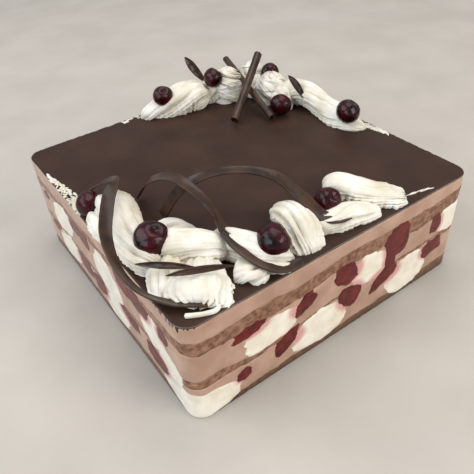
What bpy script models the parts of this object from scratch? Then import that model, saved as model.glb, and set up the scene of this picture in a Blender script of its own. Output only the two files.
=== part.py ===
"""A square layer cake: chocolate sponge and mousse with cream and cherry fillings under a dark glaze, a clear film
round its sides, and piped cream, cherries, chocolate bands, rolls and flakes on top. Units are metres, +Z is up,
and the origin is at the middle of the flat underside. Places are marked in millimetres from the near corner, the
one at -X -Y: the first number runs along the front, the second along the left side."""

import math

import bmesh
import bpy
from mathutils import Matrix, Vector, noise

MM = 0.001

# Driving dimensions
SIDE = 240 * MM
HEIGHT = 84 * MM
CORNER_RADIUS = 11 * MM
GAP = 0.3 * MM
BAND_WIDTH = 8.5 * MM
BAND_THICKNESS = 1.2 * MM
FILM_THICKNESS = 0.4 * MM
FILM_BOTTOM = 1.2 * MM
FILM_RISE = 0.8 * MM

# How finely the shapes are divided
EDGE_STEPS = 8
CORNER_STEPS = 4
RIM_WIDTH = 9 * MM
LOBE_POINTS = 7
LOBE_DEPTH = 18 * MM
PLATE_INSET = 16 * MM

# Where one layer meets the next at the rim, from the underside up: mean height, swing, wavelength and pattern, in mm
BASE_TOP = (7.5, 2.0, 22, 1)
MIDDLE_LOW = (31.0, 2.5, 30, 2)
MIDDLE_HIGH = (35.5, 2.0, 24, 3)
UPPER_LOW = (58.5, 3.0, 30, 4)
UPPER_HIGH = (70.0, 2.2, 26, 5)
GLAZE_LOW = (81.6, 0.4, 30, 6)

# The fillings' lobes that show at a side: along, up, half width, half height and tilt, in mm and degrees
CREAM_UPPER = {
    "front": [(59, 43, 22, 13, 0), (144, 46, 18, 13, -10), (228, 49, 15, 13, 0)],
    "left": [(40, 47, 13, 15, -20), (104, 48, 18, 15, 10), (187, 50, 22, 14, -10)],
    "right": [(6, 49, 11, 13, 0), (74, 46, 22, 12, 8), (176, 46, 21, 12, -8)],
    "back": [(62, 46, 22, 12, 5), (166, 46, 22, 12, -6)],
}
CREAM_LOWER = {
    "front": [(14, 17, 19, 10, 0), (99, 20, 26, 15, 0), (184, 20, 21, 16, 0)],
    "left": [(14, 19, 19, 12, 10), (103, 19, 19, 12, 0), (188, 21, 23, 13, 0)],
    "right": [(46, 19, 22, 11, 0), (128, 20, 24, 12, 0), (206, 19, 20, 12, 0)],
    "back": [(34, 19, 20, 12, 0), (116, 20, 23, 12, 0), (202, 19, 20, 11, 0)],
}
CHERRY_UPPER = {
    "front": [(42, 56, 14, 5.5, 8), (86, 51, 11, 8, 25), (122, 54, 13, 10, -25), (169, 56, 13, 13, 0), (211, 51, 7, 9, 0)],
    "left": [(28, 55, 7, 6, 0), (56, 58, 14, 8, 0), (79, 59, 11, 8, 0), (140, 57, 9, 8, 0), (157, 59, 9, 7, -10),
             (217, 57, 7, 4, -20)],
    "right": [(36, 56, 12, 7, 10), (126, 55, 14, 8, -12)],
    "back": [(24, 56, 12, 8, 12), (114, 55, 14, 8, -10)],
}
CHERRY_LOWER = {
    "front": [(37, 22.5, 6, 7.5, 0), (70, 26, 13, 9, 40), (128, 30, 12, 10, -20), (162, 31, 15, 9, 25), (211, 29, 12, 8, 0)],
    "left": [(43, 22, 14, 9, -8), (79, 27, 13, 6, 12), (130, 23, 13, 9, -25), (155, 24, 14, 9, 15), (216, 27, 8, 6, 0)],
    "right": [(86, 27, 13, 9, 20), (168, 26, 13, 9, -15)],
    "back": [(74, 27, 13, 8, 0), (160, 26, 13, 9, -20)],
}
CREAM_UPPER_PLATE = (42, 46)
CREAM_LOWER_PLATE = (14, 18)
CHERRY_UPPER_PLATE = (53.5, 55.5)
CHERRY_LOWER_PLATE = (25, 27.5)

# Cherries on top: along, across and height of the centre over the glaze and radius, in mm, then spin and lean
CHERRIES = {
    "cherry_near_left": (19, 63, 15, 11.4, 20, 25),
    "cherry_near_right": (75, 17, 13, 10.8, 70, 60),
    "cherry_right": (128, 28, 11, 9, 10, 40),
    "cherry_left_edge": (8, 131, 9.4, 9, 40, 75),
    "cherry_back_left": (121, 226, 17, 9, 0, 30),
    "cherry_back": (168, 217, 23, 8.8, 80, 35),
    "cherry_back_high": (221, 203, 17, 9, 30, 60),
    "cherry_back_low": (196, 157, 10, 9.3, 120, 50),
    "cherry_back_right": (222, 104, 14, 10, 60, 20),
}

# Piped strokes: along, across, height of the centre over the glaze and radius of the cream, in mm
LEFT_STROKES = [
    [(22, 133, 1, 7), (21, 123, 5, 12), (19, 109, 7, 14.5), (15, 95, 7, 14.5), (14, 80, 5, 11)],
    [(13, 88, 3, 10), (16, 68, 3, 15), (26, 52, 6, 14), (38, 42, 8, 12), (49, 35, 6, 8)],
    [(30, 82, 3, 6), (38, 72, 4, 8), (42, 61, 2, 7)],
    [(45, 42, 5, 9), (39, 31, 6, 14), (32, 19, 1, 18), (28, 11, -5, 18)],
    [(53, 48, 3, 7), (59, 37, 5, 10), (66, 24, 3, 12), (73, 12, 0, 12), (80, 7, -3, 9)],
    [(50, 18, 1, 8), (56, 12, 1, 8), (63, 8, -1, 6)],
]
RIGHT_STROKES = [
    [(99, 43, 3, 7), (100, 33, 8, 12), (100, 21, 6, 13.5), (100, 10, 0, 12)],
    [(112, 22, 3, 8), (124, 20, 2, 9), (140, 18, 4, 11), (152, 12, 2, 7)],
    [(141, 44, 4, 7), (148, 36, 8, 11), (157, 26, 7, 12), (168, 17, 2, 12), (178, 12, -1, 10), (185, 10, -2, 8)],
]
BACK_STROKES = [
    [(103, 233, 1, 4), (114, 229, 6, 10), (130, 225, 9, 14), (147, 222, 10, 14), (163, 222, 8, 11)],
    [(152, 228, 3, 8), (168, 226, 7, 13), (184, 224, 5, 11)],
    [(196, 206, 4, 9), (206, 204, 7, 12), (217, 205, 5, 9)],
    [(203, 162, 3, 8), (211, 172, 5, 11), (219, 182, 5, 11)],
    [(218, 184, 4, 9), (222, 170, 9, 11), (225, 154, 13, 12), (226, 135, 10, 13), (229, 114, 5, 12), (233, 98, 2, 8)],
]

# Piped peaks: along and across, then height and radius of the cream up the peak, in mm
PEAKS = {
    "peak_left": ((186, 219), [(-4, 15), (5, 15.5), (13, 12), (20, 7), (24, 2.5)]),
    "peak_corner": ((216, 225), [(-4, 13), (4, 14), (12, 10), (19, 6), (24, 2)]),
    "peak_right": ((213, 190), [(-4, 14), (4, 15), (12, 12), (18, 7), (22, 2.5)]),
}
PEAK_TURN = 38
NOZZLE_TEETH = 7
NOZZLE_GROOVE = 0.2

# Chocolate bands: along, across and height over the glaze in mm, then turn of the band in degrees
BANDS = {
    "band_left": [(15, 151, 3, 0), (19, 135, 16, 5), (22, 113, 29, 5), (11, 98, 27, -15), (-3, 74, 22, -30),
                  (-8, 53, 15, -40), (-5, 34, 8, -40), (6, 20, 3.5, -25), (22, 7.5, 2.5, 0)],
    "band_middle": [(42, 124, 3, 30), (44, 106, 23, 20), (50, 82, 34, 5), (55, 55, 28, -20), (57, 45, 17, -30),
                    (54, 31, 15, -25), (55, 18, 12.5, -20), (60, 8, 8, -15), (69, 2, 4.5, 0), (83, 0.5, 3.5, 0)],
    "band_right": [(42, 92, 3, 40), (52, 84, 22, 30), (66, 74, 33, 10), (84, 61, 36, 0), (102, 48, 30, 15),
                   (111, 33, 18, 25), (115, 20, 10.5, 20), (122, 12.5, 7.5, 0), (139, 12.5, 5.5, 0)],
}

# Chocolate rolls: lower and upper end of the axis, then outer radius and bore radius
ROLLS = {
    "roll_long": ((155, 168, 4.8), (210, 206, 36), 3.9, 2.2),
    "roll_crossed": ((181.5, 151, 4.4), (198.5, 241, 25), 3.4, 1.9),
}

# Pointed flakes: three places along the flake, then its half width, in mm, and its turn in degrees
FLAKES = {
    "flake_front_left": ((2, 51, 11), (15, 38, 15), (29, 28, 15.5), 3.0, 60),
    "flake_front_right": ((12, 33, 14.5), (28, 23, 18), (45, 15, 15.5), 2.8, 60),
    "flake_back_left": ((168, 234, 17), (162, 240, 27), (157, 244, 37), 3.6, 20),
    "flake_back_right": ((215, 150, 13), (213, 157, 22), (210, 164, 29), 2.2, 10),
}
FLAKE_THICKNESS = 1.1 * MM
STRAND = [(8.6, 7.6, 1.6), (13, 4.2, 1.6), (18, 1.5, 1.6), (21, 1.5, 1.8)]
STRAND_RADIUS = 1.1 * MM

# Colour, roughness and metallic value of each finish
FINISHES = {
    "glaze": ((0.055, 0.028, 0.02), 0.3),
    "mousse": ((0.47, 0.32, 0.22), 0.6),
    "sponge": ((0.2, 0.11, 0.075), 0.9),
    "cream": ((0.87, 0.82, 0.7), 0.5),
    "cherry_filling": ((0.16, 0.02, 0.025), 0.4),
    "cherry": ((0.1, 0.006, 0.015), 0.15),
    "chocolate": ((0.045, 0.022, 0.015), 0.35),
    "film": ((0.9, 0.9, 0.9), 0.05),
}


def clear_scene():
    for found in list(bpy.data.objects):
        bpy.data.objects.remove(found)


def new_collection(name):
    made = bpy.data.collections.new(name)
    bpy.context.scene.collection.children.link(made)
    return made


def finish(name):
    """The material of that name, made the first time it is asked for."""
    found = bpy.data.materials.get(name)
    if found:
        return found
    colour, roughness = FINISHES[name]
    made = bpy.data.materials.new(name)
    made.use_nodes = True
    shader = made.node_tree.nodes["Principled BSDF"]
    shader.inputs["Base Color"].default_value = (*colour, 1)
    shader.inputs["Roughness"].default_value = roughness
    shader.inputs["Metallic"].default_value = 0
    return made


def new_object(name, data):
    made = bpy.data.objects.new(name, data)
    workshop.objects.link(made)
    return made


def object_from(mesh_in_hand, name):
    """An object of a bmesh, with its faces turned outwards."""
    bmesh.ops.recalc_face_normals(mesh_in_hand, faces=mesh_in_hand.faces)
    data = bpy.data.meshes.new(name)
    mesh_in_hand.to_mesh(data)
    mesh_in_hand.free()
    return new_object(name, data)


def applied(target):
    """The object with its modifiers made part of its mesh."""
    graph = bpy.context.evaluated_depsgraph_get()
    data = bpy.data.meshes.new_from_object(target.evaluated_get(graph))
    target.modifiers.clear()
    target.data = data
    return target


def as_mesh(curve_object):
    """A mesh object made from a curve, with its loose end caps welded."""
    graph = bpy.context.evaluated_depsgraph_get()
    data = bpy.data.meshes.new_from_object(curve_object.evaluated_get(graph))
    data.transform(curve_object.matrix_world)
    welded = bmesh.new()
    welded.from_mesh(data)
    bmesh.ops.remove_doubles(welded, verts=welded.verts, dist=0.00001)
    name = curve_object.name
    bpy.data.objects.remove(curve_object)
    return object_from(welded, name)


def boolean(target, operation, others, solver="EXACT"):
    """The target joined with, cut by or kept inside the others, one after the other."""
    for other in others:
        step = target.modifiers.new(operation.lower(), "BOOLEAN")
        step.operation = operation
        step.object = other
        step.solver = solver
    return applied(target)


def remove(objects):
    for found in objects:
        bpy.data.objects.remove(found)


def largest_piece(target):
    """The target without the loose scraps that a cut leaves."""
    work = bmesh.new()
    work.from_mesh(target.data)
    bmesh.ops.remove_doubles(work, verts=work.verts, dist=0.000005)
    unseen = set(work.faces)
    pieces = []
    while unseen:
        frontier = [unseen.pop()]
        piece = list(frontier)
        while frontier:
            face = frontier.pop()
            beside = {other for edge in face.edges for other in edge.link_faces if other in unseen}
            unseen -= beside
            piece.extend(beside)
            frontier.extend(beside)
        pieces.append(piece)
    biggest = max(pieces, key=len)
    scraps = [face for piece in pieces if piece is not biggest for face in piece]
    bmesh.ops.delete(work, geom=scraps, context="FACES")
    work.to_mesh(target.data)
    work.free()
    return target


def keep(target, name, material, sharp=35):
    """Puts a finished piece among the cake's parts, under its own name."""
    target.name = name
    target.data.materials.clear()
    target.data.materials.append(finish(material))
    target.data.shade_smooth()
    target.data.set_sharp_from_angle(angle=math.radians(sharp))
    workshop.objects.unlink(target)
    cake.objects.link(target)
    return target


def on_glaze(along, across, height):
    """A place marked from the near corner, in mm over the glaze, as a point of the model."""
    return Vector((along * MM - SIDE / 2, across * MM - SIDE / 2, HEIGHT + height * MM))


def outline(inset):
    """The cake's rounded square seen from above, as points that run round it."""
    half = SIDE / 2 - inset
    radius = max(CORNER_RADIUS - inset, 1 * MM)
    straight = 2 * (half - radius)
    points = []
    for quarter in range(4):
        turn = Matrix.Rotation(quarter * math.pi / 2, 2)
        for step in range(EDGE_STEPS):
            points.append(turn @ Vector((straight * (step / EDGE_STEPS - 0.5), -half)))
        for step in range(CORNER_STEPS):
            angle = math.pi / 2 * step / CORNER_STEPS
            centre = Vector((straight / 2, -straight / 2))
            points.append(turn @ (centre + radius * Vector((math.sin(angle), -math.cos(angle)))))
    return points


def wavy(seam, place):
    """The height of a seam between layers at a place on the rim."""
    mean, swing, wavelength, pattern = seam
    sample = Vector((place.x / (wavelength * MM), place.y / (wavelength * MM), pattern * 7.3))
    return (mean + swing * 1.6 * noise.noise(sample)) * MM


def level(height):
    """A flat face of the cake, which no other layer touches."""
    return (height, 0, 20, 0)


def layer(name, low, high, inset=0):
    """A slab of the cake between two seams, wavy at its rim and flat further in."""
    work = bmesh.new()
    work.faces.new([work.verts.new((point.x, point.y, 0)) for point in outline(inset)])
    raised = bmesh.ops.extrude_face_region(work, geom=work.faces[:])
    lifted = [part for part in raised["geom"] if isinstance(part, bmesh.types.BMVert)]
    bmesh.ops.translate(work, verts=lifted, vec=(0, 0, HEIGHT))
    rim = set(work.verts)
    work.normal_update()
    faces = [face for face in work.faces if abs(face.normal.z) > 0.9]
    bmesh.ops.inset_individual(work, faces=faces, thickness=RIM_WIDTH, use_even_offset=True)
    for corner in work.verts:
        seam, shift = (low, GAP / 2) if corner.co.z < HEIGHT / 2 else (high, -GAP / 2)
        shift = shift if seam[1] else 0
        corner.co.z = (wavy(seam, corner.co) if corner in rim else seam[0] * MM) + shift
    slopes = [face for face in work.faces if len(face.verts) == 4]
    bmesh.ops.triangulate(work, faces=slopes, quad_method="SHORT_EDGE")
    return object_from(work, name)


def side_frame(side, along, up):
    """Where a lobe sits on a side: its matrix has X along the side, Y up and Z into the cake."""
    near, far = -SIDE / 2, SIDE / 2
    corner, run, inward = {
        "front": (Vector((near, near, 0)), Vector((1, 0, 0)), Vector((0, 1, 0))),
        "left": (Vector((near, near, 0)), Vector((0, 1, 0)), Vector((1, 0, 0))),
        "right": (Vector((far, near, 0)), Vector((0, 1, 0)), Vector((-1, 0, 0))),
        "back": (Vector((near, far, 0)), Vector((1, 0, 0)), Vector((0, -1, 0))),
    }[side]
    place = corner + run * along * MM + Vector((0, 0, up * MM))
    return Matrix.Translation(place) @ Matrix((run, (0, 0, 1), inward)).transposed().to_4x4()


def lobe(side, along, up, half_width, half_height, tilt, grow):
    """One uneven lump of filling that shows at a side and narrows into the cake."""
    work = bmesh.new()
    overhang = 2 * MM
    depth = LOBE_DEPTH + overhang + grow
    bmesh.ops.create_cone(work, cap_ends=True, segments=LOBE_POINTS, radius1=1, radius2=0.5, depth=depth)
    for corner in work.verts:
        angle = math.atan2(corner.co.y, corner.co.x)
        sample = Vector((math.cos(angle), math.sin(angle), along * 0.37 + up * 0.11))
        bulge = 1 + 0.3 * noise.noise(sample)
        corner.co.x *= bulge * (half_width * MM + grow)
        corner.co.y *= bulge * (half_height * MM + grow)
    place = side_frame(side, along, up) @ Matrix.Rotation(math.radians(tilt), 4, "Z")
    work.transform(place @ Matrix.Translation((0, 0, depth / 2 - overhang)))
    return object_from(work, "lobe")


def plate(bounds, grow):
    """The part of a filling that runs through the cake."""
    low, high = bounds
    span = SIDE - 2 * PLATE_INSET + 2 * grow
    thickness = (high - low) * MM + 2 * grow
    work = bmesh.new()
    bmesh.ops.create_cube(work, size=1)
    middle = Matrix.Translation((0, 0, (low + high) / 2 * MM))
    work.transform(middle @ Matrix.Diagonal((span, span, thickness, 1)))
    return object_from(work, "plate")


def filling(lobes, bounds, grow=0):
    """A filling layer with its lobes, a little larger all round where it is used as a cutter."""
    body = plate(bounds, grow)
    lumps = [lobe(side, *sizes, grow) for side, several in lobes.items() for sizes in several]
    boolean(body, "UNION", lumps)
    remove(lumps)
    return body


def build_layers():
    """The slabs and fillings of the cake, each cut clear of the fillings that show through it."""
    cherries_up = filling(CHERRY_UPPER, CHERRY_UPPER_PLATE)
    cherries_low = filling(CHERRY_LOWER, CHERRY_LOWER_PLATE)
    cream_up = filling(CREAM_UPPER, CREAM_UPPER_PLATE)
    cream_low = filling(CREAM_LOWER, CREAM_LOWER_PLATE)
    cherry_up_cut = filling(CHERRY_UPPER, CHERRY_UPPER_PLATE, GAP)
    cherry_low_cut = filling(CHERRY_LOWER, CHERRY_LOWER_PLATE, GAP)
    cream_up_cut = filling(CREAM_UPPER, CREAM_UPPER_PLATE, GAP)
    cream_low_cut = filling(CREAM_LOWER, CREAM_LOWER_PLATE, GAP)
    cutters = [cherry_up_cut, cherry_low_cut, cream_up_cut, cream_low_cut]
    core = layer("core", level(1.5), level(HEIGHT / MM - 6))
    boolean(cherries_low, "DIFFERENCE", [cherry_up_cut])
    boolean(cream_up, "DIFFERENCE", [cherry_up_cut, cherry_low_cut])
    boolean(cream_low, "DIFFERENCE", [cherry_up_cut, cherry_low_cut, cream_up_cut])
    for body in (cherries_up, cherries_low, cream_up, cream_low):
        boolean(body, "INTERSECT", [core])
    slabs = {
        "sponge_base": ((level(0), BASE_TOP), "sponge"),
        "mousse_lower": ((BASE_TOP, MIDDLE_LOW), "mousse"),
        "sponge_middle": ((MIDDLE_LOW, MIDDLE_HIGH), "sponge"),
        "mousse_upper": ((MIDDLE_HIGH, UPPER_LOW), "mousse"),
        "sponge_upper": ((UPPER_LOW, UPPER_HIGH), "sponge"),
        "mousse_top": ((UPPER_HIGH, GLAZE_LOW), "mousse"),
        "glaze": ((GLAZE_LOW, level(HEIGHT / MM)), "glaze"),
    }
    for name, (seams, material) in slabs.items():
        body = layer(name, *seams)
        if name not in ("mousse_top", "glaze"):
            boolean(body, "DIFFERENCE", cutters)
        keep(largest_piece(body), name, material)
    keep(largest_piece(cherries_up), "cherry_filling_upper", "cherry_filling")
    keep(largest_piece(cherries_low), "cherry_filling_lower", "cherry_filling")
    keep(largest_piece(cream_up), "cream_filling_upper", "cream")
    keep(largest_piece(cream_low), "cream_filling_lower", "cream")
    remove(cutters + [core])


def build_film():
    """The clear film that wraps the sides, open above and below."""
    work = bmesh.new()
    ring = [work.verts.new((point.x, point.y, FILM_BOTTOM)) for point in outline(-GAP)]
    edges = [work.edges.new((ring[step - 1], ring[step])) for step in range(len(ring))]
    raised = bmesh.ops.extrude_edge_only(work, edges=edges)
    lifted = [part for part in raised["geom"] if isinstance(part, bmesh.types.BMVert)]
    bmesh.ops.translate(work, verts=lifted, vec=(0, 0, HEIGHT + FILM_RISE - FILM_BOTTOM))
    film = object_from(work, "film")
    wall = film.modifiers.new("wall", "SOLIDIFY")
    wall.thickness = FILM_THICKNESS
    wall.offset = 1
    keep(applied(film), "film", "film")


def cherry(name, grow=0):
    """A round cherry with the dimple that its stalk left."""
    along, across, height, radius, spin, lean = CHERRIES[name]
    work = bmesh.new()
    bmesh.ops.create_uvsphere(work, u_segments=10, v_segments=7, radius=1)
    for corner in work.verts:
        reach = math.hypot(corner.co.x, corner.co.y)
        if corner.co.z > 0:
            corner.co.z -= 0.22 * math.exp(-((reach / 0.35) ** 2))
        corner.co = Vector((corner.co.x, corner.co.y * 0.96, corner.co.z * 0.93)) * (radius * MM + grow)
    turn = Matrix.Rotation(math.radians(spin), 4, "Z") @ Matrix.Rotation(math.radians(lean), 4, "X")
    work.transform(Matrix.Translation(on_glaze(along, across, height)) @ turn)
    return object_from(work, name)


def profile(name, points):
    """A closed flat outline that a curve carries along its path."""
    curve = bpy.data.curves.new(name, "CURVE")
    curve.dimensions = "2D"
    spline = curve.splines.new("POLY")
    spline.points.add(len(points) - 1)
    for knot, (x, y) in zip(spline.points, points):
        knot.co = (x, y, 0, 1)
    spline.use_cyclic_u = True
    return new_object(name, curve)


def swept(name, section, knots, steps):
    """A solid swept along knots, each a point, the size of the section there and its turn."""
    curve = bpy.data.curves.new(name, "CURVE")
    curve.dimensions = "3D"
    curve.twist_mode = "Z_UP"
    curve.bevel_mode = "OBJECT"
    curve.bevel_object = section
    curve.use_fill_caps = True
    curve.resolution_u = steps
    spline = curve.splines.new("BEZIER")
    spline.bezier_points.add(len(knots) - 1)
    for knot, (point, size, turn) in zip(spline.bezier_points, knots):
        knot.co = point
        knot.handle_left_type = knot.handle_right_type = "AUTO"
        knot.radius = size
        knot.tilt = math.radians(turn)
    return as_mesh(new_object(name, curve))


def nozzle():
    """The star outline that the piping nozzle gives the cream, one unit in radius."""
    points = []
    for tooth in range(2 * NOZZLE_TEETH):
        angle = math.pi * tooth / NOZZLE_TEETH
        reach = 1 if tooth % 2 == 0 else 1 - NOZZLE_GROOVE
        points.append((reach * math.cos(angle), reach * math.sin(angle)))
    return profile("nozzle", points)


def stroke(path, section):
    """One pull of the piping bag, its grooves turning a little on the way."""
    knots = [(on_glaze(*spot[:3]), spot[3] * MM, 12 * step) for step, spot in enumerate(path)]
    return swept("stroke", section, knots, 2)


def peak(name, section):
    """A swirl of cream pulled straight up to a point."""
    place, rings = PEAKS[name]
    knots = [(on_glaze(*place, height), radius * MM, PEAK_TURN * step) for step, (height, radius) in enumerate(rings)]
    return swept(name, section, knots, 2)


def band(name, grow=0):
    """A thin band of chocolate that arches over the cake."""
    half, thick = BAND_WIDTH / 2 + grow, BAND_THICKNESS / 2 + grow
    section = profile("band", [(-half, -thick), (half, -thick), (half, thick), (-half, thick)])
    knots = [(on_glaze(along, across, height), 1, turn) for along, across, height, turn in BANDS[name]]
    body = swept(name, section, knots, 3)
    remove([section])
    return body


def roll(name, grow=0):
    """A sheet of chocolate rolled into a narrow tube, solid where it is used as a cutter."""
    low, high, outer, bore = ROLLS[name]
    foot, head = on_glaze(*low), on_glaze(*high)
    length, outer = (head - foot).length + grow, outer * MM + grow
    inner = 0 if grow else bore * MM
    work = bmesh.new()
    corners = [work.verts.new(point) for point in ((outer, 0, length), (outer, 0, -grow), (inner, 0, -grow), (inner, 0, length))]
    for step in (3, 0, 1) if grow else (3, 0, 1, 2):
        work.edges.new((corners[step], corners[(step + 1) % 4]))
    data = bpy.data.meshes.new(name)
    work.to_mesh(data)
    work.free()
    body = new_object(name, data)
    turned = body.modifiers.new("turned", "SCREW")
    turned.steps = turned.render_steps = 14
    turned.use_merge_vertices = True
    turned.merge_threshold = 0.00005
    applied(body)
    aim = (head - foot).to_track_quat("Z", "Y").to_matrix().to_4x4()
    work = bmesh.new()
    work.from_mesh(body.data)
    bmesh.ops.remove_doubles(work, verts=work.verts, dist=0.00001)
    work.transform(Matrix.Translation(foot) @ aim)
    remove([body])
    return object_from(work, name)


def flake(name, grow=0):
    """A curved shaving of chocolate, pointed at both ends."""
    foot, middle, tip, half, turn = FLAKES[name]
    thick = FLAKE_THICKNESS / 2 + grow
    section = profile("flake", [(-1, -0.2), (0, -0.36), (1, -0.2), (1, 0.2), (0, 0.04), (-1, 0.2)])
    for knot in section.data.splines[0].points:
        knot.co.y *= 2.2
    size = half * MM + grow
    points = [on_glaze(*foot), on_glaze(*middle), on_glaze(*tip)]
    sizes = [max(size * 0.3, thick), size, max(size * 0.3, thick)]
    knots = [(point, width, turn) for point, width in zip(points, sizes)]
    body = swept(name, section, knots, 3)
    remove([section])
    return body


def strand(grow=0):
    """A thin thread of cream that fell beside the border."""
    curve = bpy.data.curves.new("strand", "CURVE")
    curve.dimensions = "3D"
    curve.bevel_depth = STRAND_RADIUS + grow
    curve.bevel_resolution = 1
    curve.use_fill_caps = True
    curve.resolution_u = 3
    spline = curve.splines.new("BEZIER")
    spline.bezier_points.add(len(STRAND) - 1)
    for knot, place in zip(spline.bezier_points, STRAND):
        knot.co = on_glaze(*place)
        knot.handle_left_type = knot.handle_right_type = "AUTO"
    return as_mesh(new_object("cream_strand", curve))


def above_glaze():
    """The room over the glaze, which gives the piping its flat underside."""
    work = bmesh.new()
    bmesh.ops.create_cube(work, size=1)
    tall = 60 * MM
    middle = Matrix.Translation((0, 0, HEIGHT + GAP + tall / 2))
    work.transform(middle @ Matrix.Diagonal((2 * SIDE, 2 * SIDE, tall, 1)))
    return object_from(work, "room")


def build_toppings():
    """The piping with sockets for all that is pressed into it, and the pieces that sit there."""
    section = nozzle()
    groups = {
        "piping_left": [stroke(path, section) for path in LEFT_STROKES],
        "piping_right": [stroke(path, section) for path in RIGHT_STROKES],
        "piping_back": [stroke(path, section) for path in BACK_STROKES] + [peak(name, section) for name in PEAKS],
    }
    remove([section])
    room = above_glaze()
    sockets = [cherry(name, GAP) for name in CHERRIES]
    sockets += [band(name, 3 * GAP) for name in BANDS]
    sockets += [roll(name, GAP) for name in ROLLS]
    sockets += [flake(name, 3 * GAP) for name in FLAKES]
    sockets.append(strand(GAP))
    for name, strokes in groups.items():
        body = strokes.pop(0)
        boolean(body, "UNION", strokes, "MANIFOLD")
        boolean(body, "INTERSECT", [room], "MANIFOLD")
        boolean(body, "DIFFERENCE", sockets, "MANIFOLD")
        keep(largest_piece(body), name, "cream", 60)
        remove(strokes)
    remove(sockets + [room])
    for name in CHERRIES:
        keep(cherry(name), name, "cherry", 60)
    for name in BANDS:
        keep(band(name), name, "chocolate")
    for name in ROLLS:
        keep(roll(name), name, "chocolate")
    for name in FLAKES:
        keep(flake(name), name, "chocolate")
    keep(strand(), "cream_strand", "cream")


clear_scene()
cake = new_collection("layer_cake")
workshop = new_collection("workshop")
build_layers()
build_film()
build_toppings()
bpy.data.collections.remove(workshop)
for part in sorted(cake.objects, key=lambda found: found.name):
    part.data.calc_loop_triangles()
    print(part.name, len(part.data.loop_triangles), "triangles")
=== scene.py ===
# %% [markdown]
# # A square layer cake
# The imported model gives every part its size and place. This notebook dresses it: each layer, filling,
# swirl of cream, cherry and chocolate decoration gets its own finished shape and a procedural material,
# and the solid it stands for is hidden. The first cell loads the solids.

# %% Load the solids
import math
import random

import bpy
import numpy as np
from mathutils import Matrix, Vector, noise


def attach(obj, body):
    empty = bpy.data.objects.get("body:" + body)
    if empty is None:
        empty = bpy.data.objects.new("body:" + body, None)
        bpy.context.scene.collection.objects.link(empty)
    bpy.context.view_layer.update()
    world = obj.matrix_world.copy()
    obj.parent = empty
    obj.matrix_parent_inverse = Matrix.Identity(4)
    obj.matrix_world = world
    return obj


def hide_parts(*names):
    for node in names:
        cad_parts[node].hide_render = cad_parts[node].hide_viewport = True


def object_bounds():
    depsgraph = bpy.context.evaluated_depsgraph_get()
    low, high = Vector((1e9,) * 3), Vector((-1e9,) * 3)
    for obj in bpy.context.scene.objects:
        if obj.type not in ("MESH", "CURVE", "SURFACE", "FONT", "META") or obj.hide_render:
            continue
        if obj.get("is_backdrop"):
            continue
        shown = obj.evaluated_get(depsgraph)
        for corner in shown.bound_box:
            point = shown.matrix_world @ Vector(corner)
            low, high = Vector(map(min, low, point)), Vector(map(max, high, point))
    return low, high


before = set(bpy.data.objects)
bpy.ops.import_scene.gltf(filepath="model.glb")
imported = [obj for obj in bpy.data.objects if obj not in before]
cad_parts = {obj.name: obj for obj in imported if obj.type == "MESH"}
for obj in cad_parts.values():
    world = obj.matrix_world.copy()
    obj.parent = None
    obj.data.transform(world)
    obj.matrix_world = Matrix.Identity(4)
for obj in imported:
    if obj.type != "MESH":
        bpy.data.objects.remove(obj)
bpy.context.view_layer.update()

print(len(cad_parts), "solids loaded")

# %% [markdown]
# ## Measures
# The cake is a square block with rounded upright corners. Places on top are marked in millimetres from
# the near corner: along the front, along the left side, and up from the glaze. Places on the sides are
# marked by how far round the cake they are: front, right, back and left take 240 mm each.

# %% Sizes and places
MM = 0.001
SIDE = 240.0
HEIGHT = 84.0
CORNER = 11.0


def on_top(along, across, height):
    """A place marked from the near corner, in metres."""
    return Vector((along - SIDE / 2, across - SIDE / 2, HEIGHT + height)) * MM


def around(way, height, out=0.0):
    """Points on the wall, from how far round, how high and how far out they are, all in mm."""
    way = np.asarray(way, float) % (4 * SIDE)
    side, along = np.divmod(way, SIDE)
    turn = np.zeros_like(along)
    turn = np.where(along < CORNER, -math.pi / 4 * (1 - along / CORNER), turn)
    turn = np.where(along > SIDE - CORNER, math.pi / 4 * (1 - (SIDE - along) / CORNER), turn)
    straight = np.clip(along, CORNER, SIDE - CORNER) - SIDE / 2
    x = straight + (CORNER + out) * np.sin(turn)
    y = -SIDE / 2 + CORNER - (CORNER + out) * np.cos(turn)
    quarter = side * math.pi / 2
    around_x = x * np.cos(quarter) - y * np.sin(quarter)
    around_y = x * np.sin(quarter) + y * np.cos(quarter)
    return np.stack([around_x, around_y, height + 0 * x], axis=1) * MM


print("cake", SIDE, "mm square and", HEIGHT, "mm high")

# %% [markdown]
# ## Helpers for shaping
# A mesh primitive is added with nothing else selected, and its points are then read and placed as one
# array. The noise is fixed for a place in space, so neighbouring points agree and each run gives the same
# cake. A grid that is rolled up into a ring or a tube is welded where its edges meet.

# %% Helpers for shaping
WELD = 0.002


def points_of(piece):
    """The places of a piece's points, as an array."""
    found = np.empty(len(piece.data.vertices) * 3)
    piece.data.vertices.foreach_get("co", found)
    return found.reshape(-1, 3)


def put_points(piece, places):
    """Moves a piece's points to the places in the array."""
    piece.data.vertices.foreach_set("co", np.asarray(places, float).ravel())
    piece.data.update()


def ripple(places, size, pattern=0.0):
    """Smooth noise between about -1 and 1 at each place, with lumps of that size in mm."""
    shifted = np.asarray(places) / (size * MM) + pattern * 17.3
    return np.array([noise.noise(Vector(place)) for place in shifted]) * 1.6


def grid(columns, rows):
    """A flat grid with nothing else selected, and how far along and across it each of its points is."""
    bpy.ops.object.select_all(action="DESELECT")
    bpy.ops.mesh.primitive_grid_add(x_subdivisions=columns, y_subdivisions=rows, size=1)
    made = bpy.context.object
    share = points_of(made) + 0.5
    return made, share[:, 0], share[:, 1]


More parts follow.
